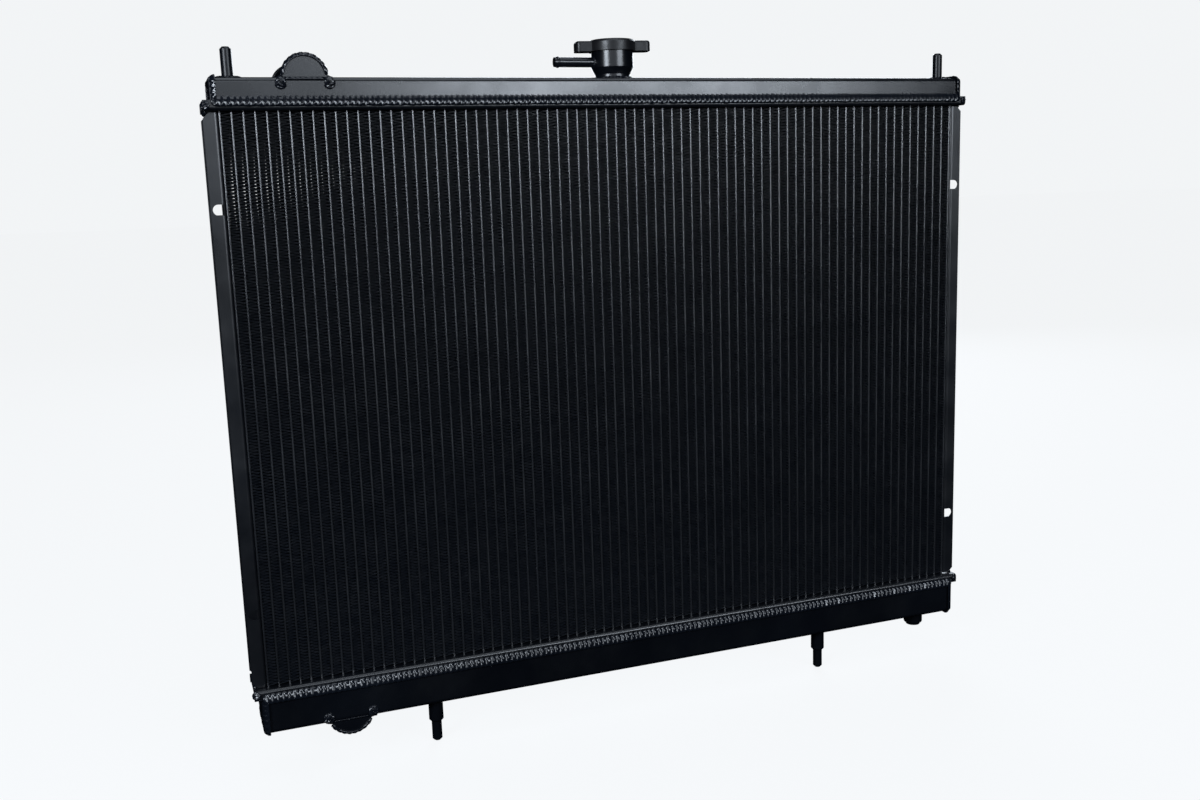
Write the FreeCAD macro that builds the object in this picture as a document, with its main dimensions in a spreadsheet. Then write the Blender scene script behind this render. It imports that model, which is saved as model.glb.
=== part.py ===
"""Down-flow car radiator with welded aluminium tanks, as a parametric document.

Frame: +Z up, +X to the right of a person who faces the radiator's front, front towards -Y.
Origin: midway between the two lower locating pins, at the shoulder that rests on the rubber mounts.
"""
import FreeCAD, Part
import math
import os
import re

V = FreeCAD.Vector
X_AXIS, Y_AXIS, Z_AXIS = V(1, 0, 0), V(0, 1, 0), V(0, 0, 1)

doc = FreeCAD.newDocument("radiator")

# ---------------------------------------------------------------- driving dimensions, millimetres
DIMENSIONS = [
    ("tube_count", 77, "flat tubes in the single row"),
    ("tube_pitch", 10, "from one tube to the next"),
    ("tube_thick", 2, "tube, outside, across the row"),
    ("tube_wall", 0.3, "tube wall"),
    ("core_depth", 36, "tube and fin, front to back"),
    ("core_length", 530, "open core between the two headers"),
    ("fin_gap", 0.02, "braze gap between a fin crest and its tube"),
    ("fin_thick", 0.5, "fin strip, stands for the foil's whole mass"),
    ("fin_wave", 40, "one full fold of a fin strip"),
    ("braze_gap", 0.05, "all round a tube in its header slot"),
    ("sheet_wall", 2, "tank and header sheet"),
    ("header_half", 394, "half the header's length"),
    ("tank_half", 384, "half the tank shell's length"),
    ("cap_plate", 3, "thickness of a tank's end cap"),
    ("tank_depth", 52, "tanks and headers, front to back"),
    ("lip_height", 9.2, "header tray, base to rim"),
    ("seam_gap", 0.1, "root gap of a welded seam"),
    ("header_bend", 3, "outside bend radius of the header tray"),
    ("tank_bend", 4.5, "outside bend radius of the tank channel"),
    ("top_height", 28.5, "top tank with its header"),
    ("bottom_height", 44, "bottom tank with its header"),
    ("shoulder_length", 24, "lower pin's wide part, tank to rubber mount"),
    ("shoulder_dia", 14.5, "lower pin's wide part"),
    ("shoulder_nose", 1.6, "chamfer on the lower end of the wide part"),
    ("setback", 8, "middle of the core and tanks behind the line of the pins"),
    ("pin_dia", 10, "all four locating pins"),
    ("lower_pin_length", 21, "lower pin below its shoulder"),
    ("lower_pin_x", 220, "lower pins, each side of the middle"),
    ("upper_pin_length", 27, "upper pin above the tank"),
    ("upper_pin_x", 370, "upper pins, each side of the middle"),
    ("pin_nose", 2, "chamfer on a pin's end"),
    ("side_wall", 1.6, "side plate sheet"),
    ("side_reach", 13.2, "side plate, tube side to the flange's edge"),
    ("side_bend", 3.5, "side plate's outside bend radius"),
    ("side_corner", 5, "chamfer on the flange corners"),
    ("side_gap", 1, "side plate's end to the header"),
    ("slot_height", 9.5, "side plate's mounting slot"),
    ("slot_rim", 1.8, "metal left outside the slot"),
    ("slot_top_z", 513.5, "upper slots"),
    ("slot_bottom_z", 140.5, "lower slots"),
    ("pipe_x", -306, "both hose pipes"),
    ("pipe_wall", 2, "hose pipe wall"),
    ("inlet_dia", 38, "inlet pipe"),
    ("outlet_dia", 42, "outlet pipe"),
    ("outlet_rise", 8.5, "outlet pipe's axis above the tank's underside"),
    ("disc_thick", 3, "plate that closes a pipe's front end"),
    ("pipe_back", 72, "pipe's open end behind the middle of the core"),
    ("bead_back", 66, "raised ring that keeps the hose on"),
    ("bead_height", 1.5, "raised ring above the pipe"),
    ("neck_x", -5.3, "filler neck"),
    ("neck_dia", 41, "filler neck barrel"),
    ("neck_bore", 37, "filler neck above its seat"),
    ("throat_dia", 27, "filler neck below its seat"),
    ("neck_root_dia", 34, "filler neck where it meets the tank"),
    ("neck_root", 4.4, "height of the neck's narrow root"),
    ("neck_cone", 11.3, "height where the cone meets the barrel"),
    ("seat_height", 12.5, "pressure seat above the tank"),
    ("cam_height", 28.2, "underside of the cam flange above the tank"),
    ("lip_top", 33.5, "top sealing lip above the tank"),
    ("cam_dia", 44.4, "cam flange"),
    ("notch_width", 14, "notch in the cam flange for a cap tab"),
    ("nipple_height", 16.5, "overflow spigot above the tank"),
    ("nipple_dia", 9.4, "overflow spigot"),
    ("nipple_bore", 6.4, "overflow spigot's hole"),
    ("nipple_reach", 60.3, "overflow spigot's tip from the neck's axis"),
    ("nipple_bead_dia", 10.8, "raised ring on the overflow spigot"),
    ("nipple_bead_width", 3.4, "raised ring on the overflow spigot, along it"),
    ("cap_dia", 47, "cap skirt, outside"),
    ("cap_sheet", 1, "cap shell sheet"),
    ("cap_top", 38.2, "top of the cap above the tank"),
    ("cap_bottom", 26.6, "bottom of the cap's skirt above the tank"),
    ("lug_span", 74, "across the cap's two finger lugs"),
    ("lug_width", 19, "finger lug"),
    ("lug_depth", 9.7, "finger lug, top to bottom"),
    ("tab_width", 11, "locking tab"),
    ("tab_inner_dia", 41.6, "inside of the two locking tabs"),
    ("cap_roll", 2.4, "rounding between the lid and its skirt"),
    ("cap_dome", 0.8, "rise of the lid towards its middle"),
    ("cap_flat_dia", 24, "flat middle of the lid"),
    ("lug_drop", 1.9, "finger lugs' upper side below the top of the cap"),
    ("lug_turn", 10, "line of the lugs from the X axis, clockwise from above, in degrees"),
    ("lug_corner", 4.5, "finger lug's corners"),
    ("lug_edge", 2, "finger lug's upper edge"),
    ("rivet_dia", 6, "rivet's shank"),
    ("rivet_head_dia", 10, "rivet's head on the lid and its collar under it"),
    ("rivet_foot_dia", 9, "rivet's lower head"),
    ("rivet_rise", 1, "rivet's head above the lid"),
    ("fit_gap", 0.05, "between pieces of the cap that bear on each other"),
    ("upper_seal_inner", 28, "upper seal's hole"),
    ("upper_seal_dia", 41, "upper seal"),
    ("upper_seal_thick", 1.5, "upper seal"),
    ("disc_dia", 41.6, "spring disc above the upper seal"),
    ("disc_sheet", 0.6, "spring disc"),
    ("bell_dia", 26.4, "spring cage"),
    ("bell_sheet", 0.8, "spring cage"),
    ("bell_foot", 20.5, "spring cage's open end above the tank"),
    ("gasket_inner", 15, "pressure seal's hole"),
    ("gasket_dia", 34.5, "pressure seal"),
    ("gasket_thick", 2, "pressure seal"),
    ("plate_dia", 33, "pressure plate"),
    ("plate_thick", 1.2, "pressure plate"),
    ("vent_count", 6, "vent holes in the pressure plate"),
    ("vent_dia", 2.2, "vent hole"),
    ("vent_circle", 8.8, "circle that the vent holes lie on"),
    ("spring_dia", 21.6, "pressure spring, middle of its wire"),
    ("spring_wire", 2, "pressure spring"),
    ("spring_turns", 4.5, "pressure spring"),
    ("valve_dia", 13, "vacuum valve's disc"),
    ("valve_disc", 1, "thickness of the vacuum valve's disc"),
    ("stem_dia", 2.4, "vacuum valve's stem"),
    ("stem_hole", 3, "hole in the pressure plate for the stem"),
    ("collar_dia", 6.4, "collar on the stem that holds its spring"),
    ("collar_rise", 7, "collar's underside above the pressure plate"),
    ("collar_thick", 0.8, "collar"),
    ("valve_spring_dia", 5.2, "vacuum spring, middle of its wire"),
    ("valve_wire", 1, "vacuum spring"),
    ("valve_turns", 3, "vacuum spring"),
    ("drain_x", 353.5, "drain boss"),
    ("boss_dia", 21, "drain boss"),
    ("boss_height", 16, "drain boss below the tank"),
    ("boss_round", 2.5, "rounding of the drain boss's lower rim"),
    ("boss_recess", 4, "depth of the recess that takes the plug's head"),
    ("drain_thread", 12, "drain plug's thread"),
    ("washer_thick", 1.5, "drain plug's sealing washer"),
    ("plug_head_dia", 15.6, "drain plug's head"),
    ("plug_head", 4.2, "drain plug's head, top to bottom"),
    ("plug_key", 8, "across the flats of the plug's hexagon socket"),
]

sheet = doc.addObject("Spreadsheet::Sheet", "Dimensions")
for row, (alias, value, meaning) in enumerate(DIMENSIONS, start=1):
    sheet.set(f"A{row}", str(value))
    sheet.setAlias(f"A{row}", alias)
    sheet.set(f"B{row}", meaning)
doc.recompute()
ALIASES = {alias for alias, _, _ in DIMENSIONS}


def dim(alias):
    """The sheet's value of one driving dimension."""
    return float(sheet.get(alias))


def formula(text):
    """An expression in which each alias points at the sheet."""
    word = re.compile(r"[a-z_]+")
    return word.sub(lambda m: f"Dimensions.{m.group()}" if m.group() in ALIASES else m.group(), str(text))


def bind(obj, **expressions):
    """Binds properties to expressions; x, y and z are the placement's."""
    for name, text in expressions.items():
        target = f".Placement.Base.{name}" if name in ("x", "y", "z") else name
        obj.setExpression(target, formula(text))
    return obj


# Levels that several pieces share
TOP_Z = "shoulder_length + bottom_height + core_length"
CORE_Z = "shoulder_length + bottom_height"
TANK_TOP = f"{TOP_Z} + top_height"


def level(text):
    """The number that an expression gives, from the sheet's values."""
    total = 0.0
    for term in text.replace("-", "+ -").split("+"):
        term = term.strip()
        sign = -1 if term.startswith("-") else 1
        total += sign * dim(term.lstrip("- "))
    return total


def box(name, length, width, height, x, y, z):
    """A block, from its low corner."""
    obj = doc.addObject("Part::Box", name)
    return bind(obj, Length=length, Width=width, Height=height, x=x, y=y, z=z)


def cylinder(name, radius, height, x, y, z, axis=Z_AXIS):
    """A cylinder, from the middle of its starting face."""
    obj = doc.addObject("Part::Cylinder", name)
    obj.Placement.Rotation = FreeCAD.Rotation(Z_AXIS, axis)
    return bind(obj, Radius=radius, Height=height, x=x, y=y, z=z)


def ring(name, outer, inner, height, x, y, z, axis=Z_AXIS):
    """A flat ring or a straight sleeve."""
    solid = cylinder(name + "_outer", outer, height, x, y, z, axis)
    hole = cylinder(name + "_inner", inner, height, x, y, z, axis)
    return cut(name, solid, hole)


def cut(name, base, tool):
    """Base with tool taken away."""
    obj = doc.addObject("Part::Cut", name)
    obj.Base, obj.Tool = base, tool
    obj.Refine = True
    doc.recompute()
    return obj


def fuse(name, *pieces):
    """All pieces as one."""
    obj = doc.addObject("Part::MultiFuse", name)
    obj.Shapes = list(pieces)
    obj.Refine = True
    doc.recompute()
    return obj


def fillet(name, base, radius, chosen):
    """Rounds the edges of base for which chosen(edge) is true."""
    doc.recompute()
    obj = doc.addObject("Part::Fillet", name)
    obj.Base = base
    edges = [i for i, edge in enumerate(base.Shape.Edges, start=1) if chosen(edge)]
    obj.Edges = [(i, radius, radius) for i in edges]
    doc.recompute()
    return obj


def chamfer(name, base, size, chosen):
    """Cuts the edges of base for which chosen(edge) is true at 45 degrees."""
    doc.recompute()
    obj = doc.addObject("Part::Chamfer", name)
    obj.Base = base
    edges = [i for i, edge in enumerate(base.Shape.Edges, start=1) if chosen(edge)]
    obj.Edges = [(i, size, size) for i in edges]
    doc.recompute()
    return obj


def feature(name, shape):
    """A piece whose shape is made directly."""
    obj = doc.addObject("Part::Feature", name)
    obj.Shape = shape
    return obj


def straight_x(edge):
    """True for an edge along X."""
    return edge.Curve.TypeId == "Part::GeomLine" and abs(edge.Curve.Direction.x) > 0.99


def at(edge, y=None, z=None):
    """True where the edge's middle lies at the given Y distance from the middle and at the given Z."""
    middle = edge.BoundBox.Center
    return (y is None or abs(abs(middle.y) - y) < 0.01) and (z is None or abs(middle.z - z) < 0.01)


NODES = []


def node(obj, label, behind="setback"):
    """Names a finished sub-part and moves it back from the line of the pins."""
    obj.Label = label
    bind(obj, y=behind)
    NODES.append(obj)
    return obj


# ---------------------------------------------------------------- core: flat tubes
def flat_section(depth, thick):
    """A flat tube's section in the XY plane: two flats joined by two half rounds."""
    radius = thick / 2
    flat = depth / 2 - radius
    lines = [
        Part.LineSegment(V(-radius, -flat, 0), V(-radius, flat, 0)),
        Part.Arc(V(-radius, flat, 0), V(0, flat + radius, 0), V(radius, flat, 0)),
        Part.LineSegment(V(radius, flat, 0), V(radius, -flat, 0)),
        Part.Arc(V(radius, -flat, 0), V(0, -flat - radius, 0), V(-radius, -flat, 0)),
    ]
    return Part.Wire([line.toShape() for line in lines])


def tube_places():
    """X of every tube, from left to right."""
    count = int(dim("tube_count"))
    first = -dim("tube_pitch") * (count - 1) / 2
    return [first + i * dim("tube_pitch") for i in range(count)]


def flat_prism(depth, thick, low, high):
    """A flat section pulled up from low to high."""
    face = Part.Face(flat_section(depth, thick))
    face.translate(V(0, 0, low))
    return face.extrude(V(0, 0, high - low))


def core_tubes():
    """The tubes pass through both headers and stand a little proud inside the tanks."""
    proud = dim("sheet_wall") + 1.5
    low, high = level(CORE_Z) - proud, level(TOP_Z) + proud
    outer = flat_prism(dim("core_depth"), dim("tube_thick"), low, high)
    wall = 2 * dim("tube_wall")
    tube = outer.cut(flat_prism(dim("core_depth") - wall, dim("tube_thick") - wall, low, high))
    tubes = []
    for x in tube_places():
        copy = tube.copy()
        copy.translate(V(x, 0, 0))
        tubes.append(copy)
    return feature("tubes", Part.makeCompound(tubes))


node(core_tubes(), "core_tubes")


# ---------------------------------------------------------------- core: folded fins
def fin_strip():
    """One strip, folded to and fro between two tubes, as a solid about X = 0."""
    reach = (dim("tube_pitch") - dim("tube_thick")) / 2 - dim("fin_gap")
    low, high = level(CORE_Z) + 2, level(TOP_Z) - 2
    folds = 2 * round((high - low) / dim("fin_wave"))
    step = (high - low) / folds
    slope = step / (2 * reach)
    half_z = dim("fin_thick") * math.hypot(1, slope) / 2
    throat = reach - half_z / slope
    left, right = [], []
    for i in range(folds + 1):
        z = low + i * step
        outer, inner = (right, left) if i % 2 else (left, right)
        sign = 1 if i % 2 else -1
        outer += [V(sign * reach, 0, z - half_z), V(sign * reach, 0, z + half_z)]
        if 0 < i < folds:
            inner.append(V(sign * throat, 0, z))
    face = Part.Face(Part.makePolygon(left + right[::-1] + left[:1]))
    face.translate(V(0, -dim("core_depth") / 2, 0))
    return face.extrude(V(0, dim("core_depth"), 0))


def fin_bank(label, first, last):
    """The strips of the gaps from first to last, counted from the left."""
    strip = fin_strip()
    strips = []
    for x in tube_places()[first:last]:
        copy = strip.copy()
        copy.translate(V(x + dim("tube_pitch") / 2, 0, 0))
        strips.append(copy)
    return node(feature(label + "_shape", Part.makeCompound(strips)), label)


GAPS = int(dim("tube_count")) - 1
BANKS = 4
for bank in range(BANKS):
    fin_bank(f"fin_bank_{bank + 1}", GAPS * bank // BANKS, GAPS * (bank + 1) // BANKS)


# ---------------------------------------------------------------- headers: slotted trays
def slot_cutters(name, low, high):
    """One cutter per tube, through a header's base."""
    gap = 2 * dim("braze_gap")
    cutter = flat_prism(dim("core_depth") + gap, dim("tube_thick") + gap, low, high)
    cutters = []
    for x in tube_places():
        copy = cutter.copy()
        copy.translate(V(x, 0, 0))
        cutters.append(copy)
    return feature(name, Part.makeCompound(cutters))


def header(label, base_z, open_up):
    """A tray of bent sheet: a slotted base and two rims that turn towards the tank."""
    z = base_z if open_up else f"{base_z} - lip_height"
    block = box(label + "_block", "2 * header_half", "tank_depth", "lip_height",
                "-header_half", "-tank_depth / 2", z)
    base = level(base_z)
    rounded = fillet(label + "_bent", block, dim("header_bend"),
                     lambda edge: straight_x(edge) and at(edge, z=base))
    inner_z = f"{base_z} + sheet_wall" if open_up else f"{base_z} - lip_height - 1"
    trough = box(label + "_trough", "2 * header_half + 2", "tank_depth - 2 * sheet_wall",
                 "lip_height - sheet_wall + 1", "-header_half - 1", "-tank_depth / 2 + sheet_wall", inner_z)
    tray = cut(label + "_tray", rounded, trough)
    slots = slot_cutters(label + "_slots", base - dim("lip_height"), base + dim("lip_height"))
    return node(cut(label + "_shape", tray, slots), label)


header("top_header_plate", TOP_Z, True)
header("bottom_header_plate", CORE_Z, False)


# ---------------------------------------------------------------- tanks: folded channels and end caps
TANKS = {
    "top": (f"{TOP_Z} + lip_height + seam_gap", TANK_TOP, True),
    "bottom": ("shoulder_length", f"{CORE_Z} - lip_height - seam_gap", False),
}


def tank_channel(side):
    """The tank's channel, open towards its header."""
    low, high, closed_above = TANKS[side]
    name = side + "_tank"
    block = box(name + "_block", "2 * tank_half", "tank_depth", f"{high} - ({low})",
                "-tank_half", "-tank_depth / 2", low)
    closed = level(high) if closed_above else level(low)
    rounded = fillet(name + "_bent", block, dim("tank_bend"),
                     lambda edge: straight_x(edge) and at(edge, z=closed))
    trough_z = f"{low} - 1" if closed_above else f"{low} + sheet_wall"
    trough = box(name + "_hollow", "2 * tank_half + 2", "tank_depth - 2 * sheet_wall",
                 f"{high} - ({low}) - sheet_wall + 1",
                 "-tank_half - 1", "-tank_depth / 2 + sheet_wall", trough_z)
    inner_bend = dim("tank_bend") - dim("sheet_wall")
    inner = closed - dim("sheet_wall") if closed_above else closed + dim("sheet_wall")
    hollow = fillet(name + "_hollow_bent", trough, inner_bend,
                    lambda edge: straight_x(edge) and at(edge, z=inner))
    return cut(name + "_channel", rounded, hollow)


def end_cap(side, hand):
    """A plate that closes one end of a tank: its foot stands inside the header's rims."""
    low, high, closed_above = TANKS[side]
    name = f"{side}_tank_cap_{hand}"
    x = "tank_half + seam_gap" if hand == "right" else "-tank_half - seam_gap - cap_plate"
    wide = box(name + "_wide", "cap_plate", "tank_depth", f"{high} - ({low})", x, "-tank_depth / 2", low)
    closed = level(high) if closed_above else level(low)
    rounded = fillet(name + "_round", wide, dim("tank_bend"),
                     lambda edge: straight_x(edge) and at(edge, z=closed))
    foot_z = f"{TOP_Z} + sheet_wall + seam_gap" if closed_above else f"{CORE_Z} - lip_height - seam_gap"
    foot = box(name + "_foot", "cap_plate", "tank_depth - 2 * sheet_wall - 2 * seam_gap",
               "lip_height - sheet_wall", x, "-tank_depth / 2 + sheet_wall + seam_gap", foot_z)
    return node(fuse(name + "_shape", rounded, foot), name)


for side in TANKS:
    for hand in ("left", "right"):
        end_cap(side, hand)


# ---------------------------------------------------------------- hose pipes and their end plates
PIPES = {
    "inlet": ("top", TANK_TOP, "inlet_dia"),
    "outlet": ("bottom", "shoulder_length + outlet_rise", "outlet_dia"),
}


def hose_bead(name, z, dia):
    """The raised ring that keeps a hose on, near the pipe's open end."""
    bead = doc.addObject("Part::Torus", name)
    bead.Placement.Rotation = FreeCAD.Rotation(Z_AXIS, Y_AXIS)
    return bind(bead, Radius1=f"{dia} / 2 - 0.5", Radius2="bead_height + 0.5", x="pipe_x", y="bead_back", z=z)


def pipe(name):
    """A round pipe let into the tank from the back, cut open where it lies inside the tank."""
    side, z, dia = PIPES[name]
    start = "-tank_depth / 2 + disc_thick + seam_gap"
    rod = cylinder(name + "_rod", f"{dia} / 2", f"pipe_back - ({start})", "pipe_x", start, z, Y_AXIS)
    beaded = fuse(name + "_beaded", rod, hose_bead(name + "_bead", z, dia))
    bore = cylinder(name + "_bore", f"{dia} / 2 - pipe_wall", "pipe_back + tank_depth",
                    "pipe_x", "-tank_depth", z, Y_AXIS)
    tube = cut(name + "_tube", beaded, bore)
    low, high, closed_above = TANKS[side]
    window_low = f"{low} - tube_pitch" if closed_above else f"{low} + sheet_wall"
    window_high = f"{high} - sheet_wall" if closed_above else f"{high} + tube_pitch"
    window = box(name + "_window", f"{dia} + 2", "tank_depth - 4 * sheet_wall",
                 f"{window_high} - ({window_low})", f"pipe_x - {dia} / 2 - 1",
                 "-tank_depth / 2 + 2 * sheet_wall", window_low)
    return node(cut(name + "_pipe_shape", tube, window), name + "_pipe")


def end_plate(name):
    """The flat plate that closes the part of the pipe outside the tank, flush with the tank's front."""
    side, z, dia = PIPES[name]
    disc = cylinder(name + "_disc", f"{dia} / 2", "disc_thick", "pipe_x", "-tank_depth / 2", z, Y_AXIS)
    low, high, closed_above = TANKS[side]
    block_z = f"{high} - {dia}" if closed_above else low
    block = box(name + "_disc_foot", f"{dia} + 2", "2 * disc_thick", dia,
                f"pipe_x - {dia} / 2 - 1", "-tank_depth / 2 - 1", block_z)
    return node(cut(name + "_plate_shape", disc, block), name + "_end_plate")


def pipe_cutter(name):
    """The opening that a pipe needs in the tank, which leaves the front wall whole."""
    z, dia = PIPES[name][1], PIPES[name][2]
    return cylinder(name + "_opening", f"{dia} / 2 + seam_gap", "tank_depth",
                    "pipe_x", "-tank_depth / 2 + sheet_wall", z, Y_AXIS)


for name in PIPES:
    pipe(name)
    end_plate(name)

neck_hole = cylinder("neck_opening", "neck_root_dia / 2 + seam_gap", "2 * sheet_wall",
                     "neck_x", "0", f"{TANK_TOP} - sheet_wall - 1")
top_holes = fuse("top_openings", pipe_cutter("inlet"), neck_hole)
node(cut("top_tank_shape", tank_channel("top"), top_holes), "top_tank_shell")

drain_hole = cylinder("drain_opening", "drain_thread / 2 + 0.5", "2 * sheet_wall",
                      "drain_x", "0", "shoulder_length - 1")
bottom_holes = fuse("bottom_openings", pipe_cutter("outlet"), drain_hole)
node(cut("bottom_tank_shape", tank_channel("bottom"), bottom_holes), "bottom_tank_shell")


# ---------------------------------------------------------------- side plates: channels with slots
def side_plate(hand):
    """A channel beside the outermost tube, flanges outwards, with two slots through each flange."""
    name = "side_plate_" + hand
    sign = 1 if hand == "right" else -1
    inner_x = "tube_pitch * (tube_count - 1) / 2 + tube_thick / 2 + fin_gap"
    x = inner_x if sign > 0 else f"-({inner_x}) - side_reach"
    low, height = f"{CORE_Z} + side_gap", "core_length - 2 * side_gap"
    block = box(name + "_block", "side_reach", "core_depth", height, x, "-core_depth / 2", low)
    doc.recompute()
    web_x = block.Shape.BoundBox.XMin if sign > 0 else block.Shape.BoundBox.XMax
    edge_x = block.Shape.BoundBox.XMax if sign > 0 else block.Shape.BoundBox.XMin

    def along_z(edge, x):
        return abs(edge.Curve.Direction.z) > 0.99 and abs(edge.BoundBox.Center.x - x) < 0.01

    bent = fillet(name + "_bent", block, dim("side_bend"), lambda edge: along_z(edge, web_x))
    cornered = chamfer(name + "_cornered", bent, dim("side_corner"),
                       lambda edge: abs(edge.BoundBox.Center.x - edge_x) < 0.01
                       and edge.BoundBox.ZLength < 0.01 and edge.BoundBox.YLength > 1)
    trough_x = f"{x} + side_wall" if sign > 0 else f"{x} - 1"
    trough = box(name + "_trough", "side_reach - side_wall + 1", "core_depth - 2 * side_wall",
                 f"{height} + 2", trough_x, "-core_depth / 2 + side_wall", f"{low} - 1")
    channel = cut(name + "_channel", cornered, trough)
    cutters = []
    for where in ("top", "bottom"):
        slot_z = f"slot_{where}_z"
        far_x = f"{x} + side_reach - slot_rim - slot_height / 2" if sign > 0 \
            else f"{x} + slot_rim + slot_height / 2"
        cutters.append(cylinder(f"{name}_{where}_round", "slot_height / 2", "core_depth + 2",
                                far_x, "-core_depth / 2 - 1", slot_z, Y_AXIS))
        flat_x = f"{x} + side_wall" if sign > 0 else far_x
        cutters.append(box(f"{name}_{where}_flat", "side_reach - side_wall - slot_rim - slot_height / 2",
                           "core_depth + 2", "slot_height", flat_x, "-core_depth / 2 - 1",
                           f"{slot_z} - slot_height / 2"))
    return node(cut(name + "_shape", channel, fuse(name + "_slots", *cutters)), name)


for hand in ("left", "right"):
    side_plate(hand)


# ---------------------------------------------------------------- locating pins
def upper_pin(hand):
    """A plain round pin on the top tank."""
    name = "top_pin_" + hand
    x = "upper_pin_x" if hand == "right" else "-upper_pin_x"
    rod = cylinder(name + "_rod", "pin_dia / 2", "upper_pin_length", x, "0", TANK_TOP)
    tip = level(TANK_TOP) + dim("upper_pin_length")
    return node(chamfer(name + "_shape", rod, dim("pin_nose"), lambda edge: at(edge, z=tip)
                        and edge.Length > 1), name, behind="0")


def lower_pin(hand):
    """A stepped pin: a wide shoulder under the tank, then the part that enters the rubber mount."""
    name = "bottom_pin_" + hand
    x = "lower_pin_x" if hand == "right" else "-lower_pin_x"
    wide = cylinder(name + "_wide", "shoulder_dia / 2", "shoulder_length", x, "0", "0")
    rod = cylinder(name + "_rod", "pin_dia / 2", "lower_pin_length + 1", x, "0", "-lower_pin_length")
    nosed = chamfer(name + "_nosed", wide, dim("shoulder_nose"),
                    lambda edge: at(edge, z=0) and edge.BoundBox.ZLength < 0.01)
    both = fuse(name + "_both", nosed, rod)
    tip = -dim("lower_pin_length")
    return node(chamfer(name + "_shape", both, dim("pin_nose"), lambda edge: at(edge, z=tip)
                        and edge.BoundBox.ZLength < 0.01), name, behind="0")


for hand in ("left", "right"):
    upper_pin(hand)
    lower_pin(hand)


# ---------------------------------------------------------------- filler neck and overflow spigot
def turned(points, x):
    """A turned piece about the vertical line at x, from (radius, height above the top tank) corners."""
    base = level(TANK_TOP)
    wire = Part.makePolygon([V(x + r, 0, base + z) for r, z in points + points[:1]])
    return Part.Face(wire).revolve(V(x, 0, 0), Z_AXIS, 360)


def neck_profile():
    """Half section of the neck: root, cone, barrel and cam flange outside; lip, bore and seat inside."""
    root, barrel, cam = dim("neck_root_dia") / 2, dim("neck_dia") / 2, dim("cam_dia") / 2
    bore, throat = dim("neck_bore") / 2, dim("throat_dia") / 2
    foot = -dim("sheet_wall")
    return [(root, foot), (root, dim("neck_root")), (barrel, dim("neck_cone")), (barrel, dim("cam_height")),
            (cam, dim("cam_height")), (cam, dim("lip_top")), (bore, dim("lip_top")),
            (bore, dim("seat_height")), (throat, dim("seat_height")), (throat, foot)]


neck_body = feature("neck_body", turned(neck_profile(), dim("neck_x")))
notch_z, notch_height = f"{TANK_TOP} + cam_height", "lip_top - cam_height"
notches = box("neck_notches", "cam_dia + 2", "notch_width", notch_height,
              "neck_x - cam_dia / 2 - 1", "-notch_width / 2", notch_z)
notch_core = cylinder("neck_notch_core", "neck_dia / 2", notch_height, "neck_x", "0", notch_z)
notched = cut("neck_notched", neck_body, cut("neck_notch_pair", notches, notch_core))
nipple_hole = cylinder("nipple_opening", "nipple_dia / 2 + 0.02", "neck_dia / 2",
                       "neck_x - neck_dia / 2 - 2", "0", f"{TANK_TOP} + nipple_height", X_AXIS)
node(cut("filler_neck_shape", notched, nipple_hole), "filler_neck")

nipple_x = "neck_x - nipple_reach"
nipple_length = "nipple_reach - neck_bore / 2 - 0.5"
nipple_z = f"{TANK_TOP} + nipple_height"
nipple_rod = cylinder("nipple_rod", "nipple_dia / 2", nipple_length, nipple_x, "0", nipple_z, X_AXIS)
nipple_bead = doc.addObject("Part::Torus", "nipple_bead")
nipple_bead.Placement.Rotation = FreeCAD.Rotation(Z_AXIS, X_AXIS)
bind(nipple_bead, Radius1="(nipple_bead_dia - nipple_bead_width) / 2", Radius2="nipple_bead_width / 2",
     x=f"{nipple_x} + nipple_bead_width", y="0", z=nipple_z)
nipple_bore = cylinder("nipple_bore_hole", "nipple_bore / 2", f"{nipple_length} + 2",
                       f"{nipple_x} - 1", "0", nipple_z, X_AXIS)
node(cut("nipple_shape", fuse("nipple_beaded", nipple_rod, nipple_bead), nipple_bore), "overflow_nipple")


# ---------------------------------------------------------------- pressure cap
GAP = dim("fit_gap")
SEAL_TOP = dim("lip_top") + dim("upper_seal_thick")
DISC_TOP = SEAL_TOP + dim("disc_sheet")
BELL_LOW = SEAL_TOP - dim("bell_sheet")
GASKET_LOW = dim("seat_height") + GAP
GASKET_TOP = GASKET_LOW + dim("gasket_thick")
PLATE_LOW = GASKET_TOP + GAP
PLATE_TOP = PLATE_LOW + dim("plate_thick")
RIVET_HOLE = dim("rivet_dia") / 2 + GAP


def cap_lid():
    """The pressed lid, gently domed, with its skirt."""
    outer, flat, sheet_t = dim("cap_dia") / 2, dim("cap_flat_dia") / 2, dim("cap_sheet")
    top, low, roll = dim("cap_top"), dim("cap_bottom"), dim("cap_roll")
    rim = top - dim("cap_dome")
    slant = sheet_t / 2
    return turned([(RIVET_HOLE, top), (flat, top), (outer - roll, rim), (outer, rim - roll), (outer, low),
                   (outer - sheet_t, low), (outer - sheet_t, rim - roll - slant),
                   (outer - roll - slant, rim - sheet_t), (flat, top - sheet_t), (RIVET_HOLE, top - sheet_t)],
                  dim("neck_x"))


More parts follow.
